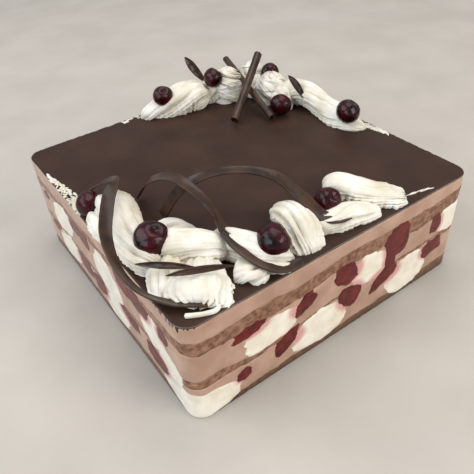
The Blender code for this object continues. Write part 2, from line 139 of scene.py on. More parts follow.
def close_up(piece, ends=True):
    """Welds the edges that meet when a grid is rolled up, and fills its open ends."""
    bpy.ops.object.mode_set(mode="EDIT")
    bpy.ops.mesh.select_all(action="SELECT")
    bpy.ops.mesh.remove_doubles(threshold=WELD * MM)
    if ends:
        bpy.ops.mesh.fill_holes(sides=0)
    bpy.ops.mesh.select_all(action="SELECT")
    bpy.ops.mesh.normals_make_consistent(inside=False)
    bpy.ops.object.mode_set(mode="OBJECT")
    return piece


def finish_piece(piece, name, material, slot, *nodes, angle=50):
    """Names a piece, gives it its finish, and lets it stand for its solids."""
    bpy.ops.object.select_all(action="DESELECT")
    piece.select_set(True)
    bpy.context.view_layer.objects.active = piece
    bpy.ops.object.shade_smooth_by_angle(angle=math.radians(angle))
    piece.name = name
    piece.data.materials.clear()
    piece.data.materials.append(material)
    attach(piece, "root")
    if nodes:
        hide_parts(*nodes)
    print(name, len(piece.data.polygons), "faces")
    return piece


# %% [markdown]
# ## Shared effects
# Cake crumb, mousse, cream and chocolate all need the same two things: a mask that mottles the colour,
# and a height that roughens the surface. One node group gives both, and every finish sets its own sizes.

# %% The mottle group
def mottle_group():
    """A group that puts out an uneven mask and a finer one, both from the place on the object."""
    group = bpy.data.node_groups.new("Mottle", "ShaderNodeTree")
    for label, value in (("Scale", 100.0), ("Fine Scale", 900.0), ("Low", 0.35), ("High", 0.65)):
        socket = group.interface.new_socket(label, in_out="INPUT", socket_type="NodeSocketFloat")
        socket.default_value = value
    group.interface.new_socket("Mask", in_out="OUTPUT", socket_type="NodeSocketFloat")
    group.interface.new_socket("Fine", in_out="OUTPUT", socket_type="NodeSocketFloat")
    nodes, wire = group.nodes, group.links.new
    enter, leave = nodes.new("NodeGroupInput"), nodes.new("NodeGroupOutput")
    place = nodes.new("ShaderNodeTexCoord")
    broad, fine = nodes.new("ShaderNodeTexNoise"), nodes.new("ShaderNodeTexNoise")
    spread = nodes.new("ShaderNodeMapRange")
    broad.inputs["Detail"].default_value = 4
    fine.inputs["Detail"].default_value = 3
    for texture, scale in ((broad, "Scale"), (fine, "Fine Scale")):
        wire(place.outputs["Object"], texture.inputs["Vector"])
        wire(enter.outputs[scale], texture.inputs["Scale"])
    wire(broad.outputs["Fac"], spread.inputs["Value"])
    wire(enter.outputs["Low"], spread.inputs["From Min"])
    wire(enter.outputs["High"], spread.inputs["From Max"])
    wire(spread.outputs["Result"], leave.inputs["Mask"])
    wire(fine.outputs["Fac"], leave.inputs["Fine"])
    return group


MOTTLE = mottle_group()


# %% [markdown]
# ## Finishes
# Every finish starts from the same few nodes: the mottle group mixes two colours, and its fine mask
# drives a small bump. What differs is the colours, the gloss and how much light goes in under the
# surface.

# %% A maker of finishes
ROUGH_SPREAD = 0.08


def linear(red, green, blue):
    """A colour as seen on a screen, 0 to 255, as the light values that a shader takes."""
    seen = (red, green, blue)
    return tuple(((c / 255 + 0.055) / 1.055) ** 2.4 if c > 10 else c / 3294.6 for c in seen) + (1,)


def finish(name, dark, light, scale, fine_scale, rough, bump, **sockets):
    """A mottled finish between two colours. Returns the material, its nodes, their wiring call, the
    colour mix and the shader."""
    made = bpy.data.materials.new(name)
    made.use_nodes = True
    nodes, wire = made.node_tree.nodes, made.node_tree.links.new
    shader = nodes["Principled BSDF"]
    mottle = nodes.new("ShaderNodeGroup")
    mottle.node_tree = MOTTLE
    mottle.inputs["Scale"].default_value = scale
    mottle.inputs["Fine Scale"].default_value = fine_scale
    colour = nodes.new("ShaderNodeMix")
    colour.data_type = "RGBA"
    colour.inputs["A"].default_value = linear(*dark)
    colour.inputs["B"].default_value = linear(*light)
    wire(mottle.outputs["Mask"], colour.inputs["Factor"])
    wire(colour.outputs["Result"], shader.inputs["Base Color"])
    gloss = nodes.new("ShaderNodeMapRange")
    gloss.inputs["To Min"].default_value = rough - ROUGH_SPREAD
    gloss.inputs["To Max"].default_value = rough + ROUGH_SPREAD
    wire(mottle.outputs["Fine"], gloss.inputs["Value"])
    wire(gloss.outputs["Result"], shader.inputs["Roughness"])
    relief = nodes.new("ShaderNodeBump")
    relief.inputs["Strength"].default_value = 1
    relief.inputs["Distance"].default_value = bump * MM
    wire(mottle.outputs["Fine"], relief.inputs["Height"])
    wire(relief.outputs["Normal"], shader.inputs["Normal"])
    for label, value in sockets.items():
        shader.inputs[label.replace("_", " ")].default_value = value
    return made, nodes, wire, colour, shader


def soft_under(shader, radius, weight):
    """Lets light travel under the surface by about the radius, in mm, most of all the red."""
    shader.inputs["Subsurface Weight"].default_value = weight
    shader.inputs["Subsurface Radius"].default_value = (1.0, 0.75, 0.5)
    shader.inputs["Subsurface Scale"].default_value = radius * MM


# %% [markdown]
# The mousse is smooth and dense, with small bubbles where it touched the film. The sponge is a porous
# crumb: cell noise darkens its pores. Its colour is darker towards the foot: painted shade near the
# floor.

# %% Mousse and sponge
MOUSSE, *_, shader = finish(
    "mousse", (164, 131, 111), (184, 151, 131), 60, 700, 0.5, 0.2, Specular_IOR_Level=0.15)
soft_under(shader, 1.5, 0.15)

SPONGE, nodes, wire, colour, shader = finish(
    "sponge", (108, 76, 58), (160, 120, 96), 260, 1500, 0.85, 0.6, Specular_IOR_Level=0.1)
pores = nodes.new("ShaderNodeTexVoronoi")
pores.inputs["Scale"].default_value = 620
place = nodes.new("ShaderNodeTexCoord")
wire(place.outputs["Object"], pores.inputs["Vector"])
hollow = nodes.new("ShaderNodeMapRange")
hollow.inputs["From Max"].default_value = 0.32
wire(pores.outputs["Distance"], hollow.inputs["Value"])
shade = nodes.new("ShaderNodeMix")
shade.data_type = "RGBA"
shade.inputs["A"].default_value = linear(88, 60, 48)
wire(hollow.outputs["Result"], shade.inputs["Factor"])
wire(colour.outputs["Result"], shade.inputs["B"])
# Painted shade near the floor: over the lowest 16 mm the sponge colour darkens towards the foot.
parts = nodes.new("ShaderNodeSeparateXYZ")
wire(place.outputs["Object"], parts.inputs["Vector"])
floor_shade_fade = nodes.new("ShaderNodeMapRange")
floor_shade_fade.inputs["From Max"].default_value = 0.016
wire(parts.outputs["Z"], floor_shade_fade.inputs["Value"])
stain_and_shade = nodes.new("ShaderNodeMix")
stain_and_shade.data_type = "RGBA"
stain_and_shade.inputs["A"].default_value = linear(84, 60, 42)
wire(floor_shade_fade.outputs["Result"], stain_and_shade.inputs["Factor"])
wire(shade.outputs["Result"], stain_and_shade.inputs["B"])
wire(stain_and_shade.outputs["Result"], shader.inputs["Base Color"])
print("mousse and sponge ready")

# %% [markdown]
# Cream and cherry fillings are smooth and moist. Cherry juice has crept into the cream beside the fruit,
# so the cream reads an attribute, "stain", that its mesh carries, and mixes in pink there.

# %% Cream and cherry fillings
def stained(nodes, wire, colour, shader, juice, strength):
    """Mixes juice into a finish, at up to that strength, where the mesh's stain attribute says."""
    stain = nodes.new("ShaderNodeAttribute")
    stain.attribute_name = "stain"
    weaker = nodes.new("ShaderNodeMath")
    weaker.operation = "MULTIPLY"
    weaker.inputs[1].default_value = strength
    wire(stain.outputs["Fac"], weaker.inputs[0])
    stain_and_shade = nodes.new("ShaderNodeMix")
    stain_and_shade.data_type = "RGBA"
    stain_and_shade.inputs["B"].default_value = linear(*juice)
    wire(weaker.outputs["Value"], stain_and_shade.inputs["Factor"])
    wire(colour.outputs["Result"], stain_and_shade.inputs["A"])
    wire(stain_and_shade.outputs["Result"], shader.inputs["Base Color"])


CREAM_FILLING, nodes, wire, colour, shader = finish(
    "cream filling", (222, 212, 192), (238, 232, 217), 90, 600, 0.42, 0.2, Specular_IOR_Level=0.15)
stained(nodes, wire, colour, shader, (196, 118, 120), 0.75)
soft_under(shader, 2, 0.2)

CHERRY_FILLING, *_, shader = finish(
    "cherry filling", (72, 14, 14), (108, 28, 27), 140, 800, 0.4, 0.25, Specular_IOR_Level=0.1)
soft_under(shader, 1.5, 0.1)
print("fillings ready")

# %% [markdown]
# ## Layers
# A layer's visible wall is a strip rolled round the cake. Its lower and upper edges follow seams, which
# are given where they were measured on the front and wander by noise elsewhere. The grid primitive is
# bent to that shape, welded where its ends meet, and its two holes are filled.

# %% Seams between layers
SEAMS = {
    "base": [(0, 4.5), (30, 5.5), (80, 6), (150, 7), (200, 9), (238, 12), (330, 7), (420, 8), (520, 6.5),
             (600, 8), (690, 7), (760, 8), (840, 7), (900, 8), (940, 6)],
    "middle_low": [(0, 29), (20, 29), (50, 28), (90, 33), (110, 36), (150, 34.5), (200, 36.5), (238, 36),
                   (330, 32), (420, 34), (520, 31), (600, 33), (690, 31), (760, 32), (840, 30), (900, 31),
                   (940, 30)],
    "middle_high": [(0, 36), (20, 37), (50, 30.5), (90, 35), (110, 38.5), (150, 36.5), (200, 39),
                    (238, 40), (330, 37), (420, 37), (520, 36), (600, 36), (690, 36), (760, 35),
                    (840, 34), (900, 36), (940, 35)],
    "upper_low": [(0, 60), (10, 58.7), (30, 57.8), (90, 57.8), (110, 62), (140, 60), (190, 56), (215, 58),
                  (235, 64.5), (330, 59), (420, 61), (520, 58), (600, 60), (690, 59), (760, 62),
                  (840, 63), (900, 62), (945, 61)],
    "upper_high": [(0, 71), (20, 68.7), (60, 70), (80, 67.8), (100, 69.5), (120, 72.3), (145, 70.3),
                   (190, 70.3), (210, 71), (235, 74.8), (330, 70), (420, 72), (520, 69), (600, 71),
                   (690, 70), (760, 68), (840, 69), (900, 68), (945, 70)],
    "glaze": [(0, 82.9), (120, 83.1), (240, 82.8), (480, 83.1), (720, 82.8)],
}
print(len(SEAMS), "seams")

# %% One layer
COLUMN = 1.15
SEAM_JITTER = 0.9
GLAZE_JITTER = 0.3
PROUD = 0.1
SEAM_DEPTH = 0.35
SEAM_REACH = 0.5


def seam(name, way):
    """The height of a seam for an array of places round the cake, in mm."""
    stops = np.array(SEAMS[name], float)
    ways, heights = stops[:, 0], stops[:, 1]
    base = np.interp(way, ways, heights, period=4 * SIDE)
    places = around(way, 0 * way)
    jitter = SEAM_JITTER if name != "glaze" else GLAZE_JITTER
    pattern = list(SEAMS).index(name) + 1
    return base + jitter * ripple(places, 9, pattern) + 0.5 * jitter * ripple(places, 2.6, pattern)


def layer(name, low, high, rows, material, slot, bumps):
    """One layer of the cake between two seams. bumps lists sizes and depths of unevenness, in mm."""
    made, along, up = grid(round(4 * SIDE / COLUMN), rows)
    way = along * 4 * SIDE
    foot = low(way)
    height = foot + (high(way) - foot) * up
    flush = around(way, height)
    out = sum(depth * ripple(flush, size, 3.1 + size) for size, depth in bumps)
    edge = np.minimum(up, 1 - up) * (high(way) - foot)
    dip = SEAM_DEPTH * np.exp(-edge / SEAM_REACH)
    put_points(made, around(way, height, np.minimum(out, PROUD) - dip))
    return finish_piece(close_up(made), name + "_wall", material, slot, name, angle=80)


# %% Wall layers
def level(height):
    """An edge at one height all the way round."""
    return lambda way: 0 * way + height


def along_seam(name):
    """An edge that follows a seam."""
    return lambda way: seam(name, way)


LAYERS = {
    "sponge_base": (level(0.0), along_seam("base"), 8, "sponge", [(3, 0.18), (1.2, 0.2)]),
    "mousse_lower": (along_seam("base"), along_seam("middle_low"), 25, "mousse", [(12, 0.06), (3, 0.03)]),
    "sponge_middle": (along_seam("middle_low"), along_seam("middle_high"), 6, "sponge",
                      [(3, 0.15), (1.2, 0.2)]),
    "mousse_upper": (along_seam("middle_high"), along_seam("upper_low"), 24, "mousse",
                     [(12, 0.06), (3, 0.03)]),
    "sponge_upper": (along_seam("upper_low"), along_seam("upper_high"), 12, "sponge",
                     [(3, 0.18), (1.2, 0.22)]),
    "mousse_top": (along_seam("upper_high"), along_seam("glaze"), 12, "mousse", [(14, 0.06), (3, 0.03)]),
}
for name, (low, high, rows, slot, bumps) in LAYERS.items():
    layer(name, low, high, rows, SPONGE if slot == "sponge" else MOUSSE, slot, bumps)

# %% [markdown]
# ## Fillings at the sides
# Spoonfuls of cream and cherries were pressed flat against the film, so each shows as an uneven patch
# flush with the mousse. One disc is made with rings out to its rim, and each patch is a copy of it, laid
# on the wall: its outline is an ellipse with noise, and its rim dips under the mousse.

# %% Patches of filling
CREAM_UPPER = [
    (59, 44, 23, 12, 4), (144, 47, 18, 13, -8), (231, 50, 21, 13, 0), (310, 46, 22, 12, 6),
    (412, 47, 21, 12, -8), (520, 47, 21, 12, 5), (640, 46, 22, 12, -6), (774, 50, 22, 14, 24),
    (853, 44, 21, 17, -38), (917, 47, 15, 14, 30)]
CREAM_LOWER = [
    (-2, 12.5, 36, 12.5, 0), (99, 20, 26, 15, 2), (184, 20, 21, 17, -3), (286, 19, 22, 11, 0),
    (368, 20, 24, 12, 4), (446, 19, 20, 12, 0), (518, 19, 20, 12, 0), (604, 20, 23, 12, -4),
    (686, 19, 20, 11, 0), (772, 21, 23, 13, 8), (857, 17, 19, 12, 0), (935, 30, 14, 14, -35)]
CHERRY_UPPER = [
    (42, 55.5, 14, 5, 8), (86, 50, 11, 7, 28), (122, 54, 12, 9, -35), (169, 57, 12, 13, 20),
    (211, 51, 6, 9, -10), (276, 56, 12, 7, 10), (366, 55, 14, 8, -12), (606, 55, 14, 8, -10),
    (696, 56, 12, 8, 12), (743, 57, 7, 4, 20), (802, 59, 9, 7, 10), (819, 58, 9, 8, 0),
    (881, 60, 12, 8, 0), (903, 59, 14, 8, 0), (932, 56, 7, 6, 0), (164, 43.5, 6, 9, 12)]
CHERRY_LOWER = [
    (37, 20, 6, 6, 0), (71, 25, 13, 7.5, 42), (127, 32, 11, 10, -20), (160, 30, 15, 8, 28),
    (211, 30, 12, 8, 6), (326, 27, 13, 9, 20), (408, 26, 13, 9, -15), (560, 26, 13, 9, -20),
    (646, 27, 13, 8, 0), (744, 27, 8, 5, 0), (753.5, 31, 6, 4, 0), (805, 24, 14, 9, -15),
    (830, 23, 13, 9, 25), (881, 27, 13, 6, -12), (917, 22, 14, 9, 8)]
print(len(CREAM_UPPER + CREAM_LOWER), "patches of cream")
print(len(CHERRY_UPPER + CHERRY_LOWER), "patches of cherry")

# %% One patch
CHUNK_RINGS = 14
CHUNK_POINTS = 72
CHUNK_POWER = 2.6
LOWEST = 0.3


def chunk(way, height, half_width, half_height, tilt, proud, ragged, pattern):
    """One patch of filling on the wall: a rolled grid, outline along it and rings across."""
    made, along, inward = grid(CHUNK_POINTS, CHUNK_RINGS)
    angle = along * 2 * math.pi
    circle = np.stack([np.cos(angle), np.sin(angle), 0 * angle], axis=1)
    wobble = 1 + ragged * ripple(circle * MM, 0.9, pattern)
    wobble = wobble + 0.45 * ragged * ripple(circle * MM, 0.22, pattern + 5)
    share = 1 - inward**1.6
    square = np.abs(np.cos(angle)) ** CHUNK_POWER + np.abs(np.sin(angle)) ** CHUNK_POWER
    square = square ** (-1 / CHUNK_POWER)
    x = share * square * wobble * half_width * np.cos(angle)
    z = share * square * wobble * half_height * np.sin(angle)
    lean = math.radians(tilt)
    round_the_cake = way + x * math.cos(lean) - z * math.sin(lean)
    up = height + x * math.sin(lean) + z * math.cos(lean)
    up = np.maximum(up, LOWEST)
    rim = (1 - share) * min(half_width, half_height)
    out = proud - 0.7 * np.exp(-rim / 0.45)
    out = out + 0.03 * ripple(around(round_the_cake, up), 5, 2)
    put_points(made, around(round_the_cake, up, out))
    return close_up(made, ends=False)


def stains(piece, cherries):
    """Marks how much juice each point of a piece has taken from the cherries near it."""
    places = points_of(piece) / MM
    reach = np.full(len(places), 9.0)
    for way, height, half_width, half_height, tilt in cherries:
        middle = around([way], [height])[0] / MM
        flat = np.linalg.norm((places - middle)[:, :2], axis=1)
        rise = places[:, 2] - height
        near = np.hypot(flat / (half_width + 1), rise / (half_height + 1))
        reach = np.minimum(reach, near)
    stain_and_shade = np.clip(1.28 - reach, 0, 0.3) / 0.3
    mark = piece.data.attributes.new("stain", "FLOAT", "POINT")
    mark.data.foreach_set("value", stain_and_shade.astype(np.float32))


# %% All the patches
def join(pieces):
    """Several meshes as one piece."""
    bpy.ops.object.select_all(action="DESELECT")
    for piece in pieces:
        piece.select_set(True)
    bpy.context.view_layer.objects.active = pieces[0]
    bpy.ops.object.join()
    return pieces[0]


def filling(name, patches, proud, ragged, material, slot, node):
    """All the patches of one filling, as one piece."""
    made = [chunk(*patch, proud, ragged, step + proud * 10) for step, patch in enumerate(patches)]
    piece = join(made)
    stains(piece, CHERRY_UPPER + CHERRY_LOWER)
    return finish_piece(piece, name, material, slot, node, angle=80)


CREAM_RAGGED, CHERRY_RAGGED = 0.13, 0.2
filling("cream_patches_lower", CREAM_LOWER, 0.22, CREAM_RAGGED, CREAM_FILLING, "cream_filling",
        "cream_filling_lower")
filling("cream_patches_upper", CREAM_UPPER, 0.23, CREAM_RAGGED, CREAM_FILLING, "cream_filling",
        "cream_filling_upper")
filling("cherry_patches_lower", CHERRY_LOWER, 0.3, CHERRY_RAGGED, CHERRY_FILLING, "cherry_filling",
        "cherry_filling_lower")
filling("cherry_patches_upper", CHERRY_UPPER, 0.31, CHERRY_RAGGED, CHERRY_FILLING, "cherry_filling",
        "cherry_filling_upper")

# %% [markdown]
# ## Glaze
# The dark glaze was poured on top and smoothed with a knife. It stands a little proud at its rim, which
# is ragged where it met the film, most of all at the back. Short runs of it went down the wall just left
# of the near corner. The grid is rolled into rings: up the rim, over it, and in to the middle.

# %% Glaze
GLAZE = finish("glaze", (47, 30, 23), (57, 38, 29), 25, 260, 0.5, 0.12, Specular_IOR_Level=0.15)[0]
RIM = [(0.7, 81.2), (0.5, 82.2), (0.25, 82.9), (0.1, 83.4), (0.5, 83.95), (1.1, 84.2), (2.0, 84.1),
       (3.4, 83.95), (6.0, 83.9)]
INNER = 12
RIM_COLUMN = 0.9
FRAYED_AT, FRAYED_REACH = 946, 11
RUN_WIDTH = 1.3
RUN_FALLS = {1: 6.2, 2: 4.0, 3: 0.9}
made, along, ring = grid(round(4 * SIDE / RIM_COLUMN), len(RIM) + INNER - 1)
way = along * 4 * SIDE
step = np.rint(ring * (len(RIM) + INNER - 1)).astype(int)
inset = np.interp(step, range(len(RIM)), [stop[0] for stop in RIM])
height = np.interp(step, range(len(RIM)), [stop[1] for stop in RIM])
edge = around(way, height, -inset)
from_fray = (way - FRAYED_AT + 2 * SIDE) % (4 * SIDE) - 2 * SIDE
frayed = np.exp(-(from_fray / FRAYED_REACH) ** 2)
streak = np.array([noise.noise(Vector((place / RUN_WIDTH, 0.3, 0.7))) for place in way])
drip = frayed * np.clip(streak * 2.6 + 0.1, 0, 1)
fall = np.select([step == row for row in RUN_FALLS], list(RUN_FALLS.values()), 0)
runs = ((drip > 0.02) & (fall > 0))[:, None]
edge = np.where(runs, around(way, height - drip * fall, 0.14), edge)
lip = np.exp(-((inset - 1.1) / 1.1) ** 2)
behind = np.clip((edge[:, 0] + edge[:, 1]) / MM / 120, 0, 1)
edge[:, 2] += lip * (0.2 + 0.5 * behind) * MM * ripple(edge, 2.2, 4)
edge[:, 2] += lip * behind * 0.35 * MM
inward = np.clip((step - len(RIM) + 1) / INNER, 0, 0.999) ** 1.15
edge[:, :2] *= (1 - inward)[:, None]
edge[:, 2] += 0.12 * MM * ripple(edge, 35, 6) * (step > 5)
put_points(made, edge)
finish_piece(close_up(made), "glaze_top", GLAZE, "glaze", "glaze", angle=80)

# %% [markdown]
# ## Film
# A clear strip of film holds the sides. It is thin and bends a little, so highlights run up and down it.
# Only the shine should show, so the material is mostly see-through, and more solid at a glancing view,
# where film mirrors. Its cut edges get a pale finish of their own: a painted highlight.

# %% Film finish
def film_finish():
    """Clear film: what it mirrors is laid over the cake, faintly face on and more at a glancing view."""
    made = bpy.data.materials.new("film")
    made.use_nodes = True
    nodes, wire = made.node_tree.nodes, made.node_tree.links.new
    shader = nodes["Principled BSDF"]
    shader.inputs["Base Color"].default_value = linear(250, 250, 250)
    shader.inputs["Metallic"].default_value = 1
    shader.inputs["Roughness"].default_value = 0.07
    facing = nodes.new("ShaderNodeLayerWeight")
    facing.inputs["Blend"].default_value = 0.5
    steep = nodes.new("ShaderNodeMath")
    steep.operation = "POWER"
    steep.inputs[1].default_value = 5
    wire(facing.outputs["Facing"], steep.inputs[0])
    solid = nodes.new("ShaderNodeMapRange")
    solid.inputs["To Min"].default_value = 0.004
    solid.inputs["To Max"].default_value = 0.3
    wire(steep.outputs["Value"], solid.inputs["Value"])
    wire(solid.outputs["Result"], shader.inputs["Alpha"])
    return made


FILM = film_finish()
print("clear film ready")


# %% Film
def apply_modifier(piece, kind, **settings):
    """Adds a modifier to a piece, gives it its settings, and applies it."""
    bpy.ops.object.modifier_add(type=kind)
    for setting, value in settings.items():
        setattr(piece.modifiers[-1], setting, value)
    bpy.ops.object.modifier_apply(modifier=piece.modifiers[-1].name)


# Painted highlight: the film's cut edges get a pale grey finish for the light they catch.
FILM_EDGE_HIGHLIGHT = finish("film edge highlight", (214, 214, 212), (236, 236, 234), 60, 300, 0.2, 0.02, Alpha=0.3)[0]
FILM_FOOT, FILM_HEAD, FILM_OUT = 1.2, HEIGHT + 0.8, 0.62
FILM_THICK = 0.2
made, along, up = grid(round(4 * SIDE / 3), 18)
way = along * 4 * SIDE
height = FILM_FOOT + (FILM_HEAD - FILM_FOOT) * up
flush = around(way, height)
wave = 0.06 * ripple(flush, 28, 1) + 0.03 * ripple(flush, 9, 2)
put_points(made, around(way, height + 0.25 * ripple(flush, 20, 3) * up, FILM_OUT + wave))
close_up(made, ends=False)
apply_modifier(made, "SOLIDIFY", thickness=FILM_THICK * MM, offset=0)
finish_piece(made, "film_collar", FILM, "film", "film", angle=40)
made.data.materials.append(FILM_EDGE_HIGHLIGHT)
# The flat top and foot faces take the painted highlight.
for face in made.data.polygons:
    if abs(face.normal.z) > 0.7:
        face.material_index = 1

# %% [markdown]
# ## Piped cream
# Whipped cream is matt and lets a little light in. So its finish is a pale mottle with a small bump, and
# light travels a short way under its surface. All the strokes and the smears share it.

# %% Whipped cream finish
CREAM, *_, shader = finish(
    "whipped cream", (196, 187, 167), (217, 212, 202), 55, 500, 0.5, 0.25, Specular_IOR_Level=0.3)
soft_under(shader, 2, 0.1)
print("whipped cream ready")

# %% [markdown]
# ## Lines to follow
# A stroke of cream, a band and a flake each follow a smooth line through a few given stops. At
# each place on it they need to know which way is ahead, which is level to the side, and which is over. A
# line that stands nearly upright has no side of its own, so it takes the front's way instead.

# %% Lines to follow
UPRIGHT = 0.05


def flow(stops, count):
    """Evenly counted places on a smooth line through the stops, which may hold sizes as well."""
    stops = np.asarray(stops, float)
    padded = np.vstack([2 * stops[0] - stops[1], stops, 2 * stops[-1] - stops[-2]])
    reach = np.linspace(0, len(stops) - 1, count)
    first = np.minimum(reach.astype(int), len(stops) - 2)
    t = (reach - first)[:, None]
    a, b, c, d = (padded[first + step] for step in range(4))
    curve = 2 * b + (c - a) * t + (2 * a - 5 * b + 4 * c - d) * t**2 + (3 * b - a - 3 * c + d) * t**3
    return 0.5 * curve


def directions(line):
    """For each place on a line: the unit vectors ahead along it, level to its side, and over it."""
    ahead = np.gradient(line[:, :3], axis=0)
    ahead /= np.linalg.norm(ahead, axis=1)[:, None]
    beside = np.cross(ahead, (0, 0, 1))
    level_share = np.linalg.norm(beside, axis=1)[:, None]
    beside = np.where(level_share > UPRIGHT, beside / np.maximum(level_share, UPRIGHT), (1.0, 0.0, 0.0))
    return ahead, beside, np.cross(beside, ahead)


def from_corner(places):
    """Places marked in mm from the near corner and the glaze, in metres about the cake's middle."""
    return places * MM + np.array([-SIDE / 2, -SIDE / 2, HEIGHT]) * MM


# %% [markdown]
# ## Strokes
# Cream from a star nozzle has deep, sharp grooves between rounded ridges, and they turn as the bag does.
# A star could be swept along a curve, but a grid rolled round the line lets each ridge be torn and
# pressed on its own: across it runs the star, and along it the size swells and dies away. A table of
# styles keeps the numbers in which strokes differ, and a second table says where each stroke goes.
# Strokes that touch run into each other, as real ones do.

# %% Styles of stroke
# Each row: folds, their depth, the fine ridges' depth, the hem's frill, the turns that the folds make,
# how flat the far end is pressed, and the shares of the length over which the first and the last end are
# rounded.
STYLES = {
    "wave": (6, 2.8, 0.2, 1.6, 0.14, 0, 0.14, 0.12),
    "fan": (11, 2.6, 0.35, 2.0, 0.03, 0.72, 0.14, 0.05),
    "ruffle": (5, 2.8, 0.15, 2.8, 0.1, 0.55, 0.14, 0.05),
    "rope": (6, 3.4, 0.1, 1.4, 0.36, 0, 0.14, 0.12),
    "dome": (5, 3.2, 0.05, 0.9, 0.7, 0, 0.14, 0.12),
    "thread": (3, 0.1, 0.03, 0.05, 0.0, 0, 0.02, 0.12),
}
print(len(STYLES), "styles")

# %% Where the strokes go
LEFT_STROKES = [
    ("wave", [(22, 133, 1, 8), (21, 123, 5, 12.5), (18, 107, 8, 14), (14, 90, 8, 13), (12, 74, 6, 12),
              (13, 60, 4, 12), (17, 47, 2, 9)]),
    ("wave", [(20, 66, 4, 10), (28, 56, 7, 13), (38, 46, 8, 12), (48, 38, 7, 9), (54, 33, 4, 5)]),
    ("rope", [(31, 82, 2, 6), (40, 72, 4, 8.5), (46, 60, 2, 6)]),
    ("fan", [(25, 51, 0, 9), (18, 43, 1, 12), (12.5, 36.5, 0, 12.5), (8, 31, -1, 11), (6, 28, -1, 9)]),
    ("fan", [(38, 36, 0, 9), (32.5, 28.5, 1.5, 14), (27, 21.5, 0.5, 17.5), (21.5, 15, -0.5, 19.5),
             (18, 11, -1, 19.5)]),
    ("wave", [(52, 50, 3, 7), (59, 37, 6, 10.5), (66, 24, 3, 12), (73, 12, 1, 11), (80, 7, -2, 8)]),
    ("rope", [(49, 21, 1, 8), (56, 12, 1, 9), (63, 8, -1, 6)]),
    ("ruffle", [(9, 122, 2, 7), (7, 111, 4, 9.5), (6, 99, 4, 9.5), (7, 87, 2, 8)]),
]
RIGHT_STROKES = [
    ("fan", [(99, 44, 2, 7), (100, 34, 8, 11.5), (99, 22, 7, 13), (97, 12, 2, 12), (96, 6, -3, 10)]),
    ("wave", [(107, 24, 3, 8), (120, 18, 2, 9), (134, 15, 2, 9.5), (148, 11, 0, 8), (157, 9, -2, 5)]),
    ("ruffle", [(141, 44, 3, 7.5), (146, 38, 8, 10.5), (154, 29, 6, 11), (163, 20, 3, 12),
                (172, 14.5, 1, 12.5), (180, 11.5, 0, 11)]),
]
BACK_STROKES = [
    ("rope", [(101, 235, -1, 5), (112, 231, 3, 9), (128, 226, 7, 12.5), (146, 222, 10, 14),
              (163, 221, 7, 10)]),
    ("rope", [(150, 228, 3, 8), (168, 226, 7, 13), (185, 223, 5, 10)]),
    ("rope", [(195, 207, 4, 8), (206, 204, 7, 12), (218, 205, 5, 8)]),
    ("wave", [(202, 161, 2, 7), (211, 172, 5, 11), (220, 183, 5, 10)]),
    ("rope", [(217, 186, 4, 8), (222, 170, 9, 11), (224, 154, 11, 10.5), (226, 137, 5, 10.5),
              (224, 117, 1, 12), (226, 103, -1, 10), (233, 92, -3, 6)]),
    ("dome", [(185, 218, -6, 15), (185, 218, 4, 17.5), (185, 218, 13, 16.5), (185, 219, 21, 12),
              (186, 220, 27, 5)]),
    ("dome", [(216, 225, -6, 12), (216, 225, 4, 14), (216, 225, 11, 12.5), (217, 225, 18, 9),
              (217, 226, 23, 4)]),
    ("dome", [(212, 190, -6, 14), (212, 190, 4, 16.5), (212, 190, 12, 15), (213, 191, 18, 11),
              (213, 191, 23, 5)]),
]
print(len(LEFT_STROKES + RIGHT_STROKES + BACK_STROKES), "strokes")

# %% Strokes of a star nozzle
FINE_RIDGES = 28
SLIP = 2.2
SUNK = 0.6


